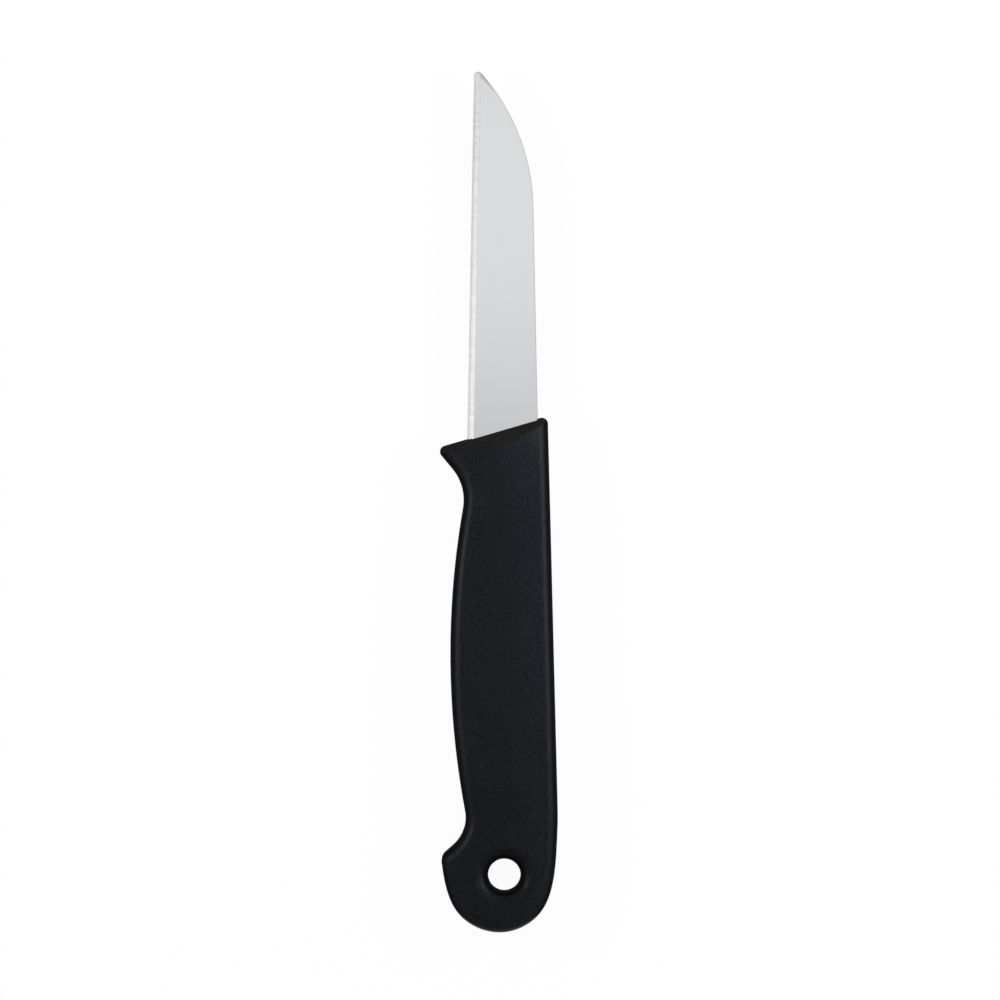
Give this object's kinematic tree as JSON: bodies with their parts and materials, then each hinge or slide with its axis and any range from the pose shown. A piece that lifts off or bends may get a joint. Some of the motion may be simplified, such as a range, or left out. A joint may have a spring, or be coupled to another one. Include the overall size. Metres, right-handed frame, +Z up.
{
  "type": "paring knife",
  "caption": "Small kitchen knife with a straight bevelled edge, a curved back and a moulded plastic handle with finger recesses and a hang hole.",
  "frame": {"origin": "middle of the knife's bounding box, on the surface that it lies on", "axes": "+Y along the knife towards the tip, +X across it towards the spine, -X towards the cutting edge, +Z up from the side it lies on"},
  "size_m": [0.0236, 0.172, 0.01],
  "materials": {
    "blade_steel": "satin ground stainless steel with a brighter ground bevel",
    "handle_plastic": "black, fine matte moulded texture"
  },
  "bodies": {
    "root": {"blade": "blade_steel", "handle": "handle_plastic"}
  },
  "joints": []
}
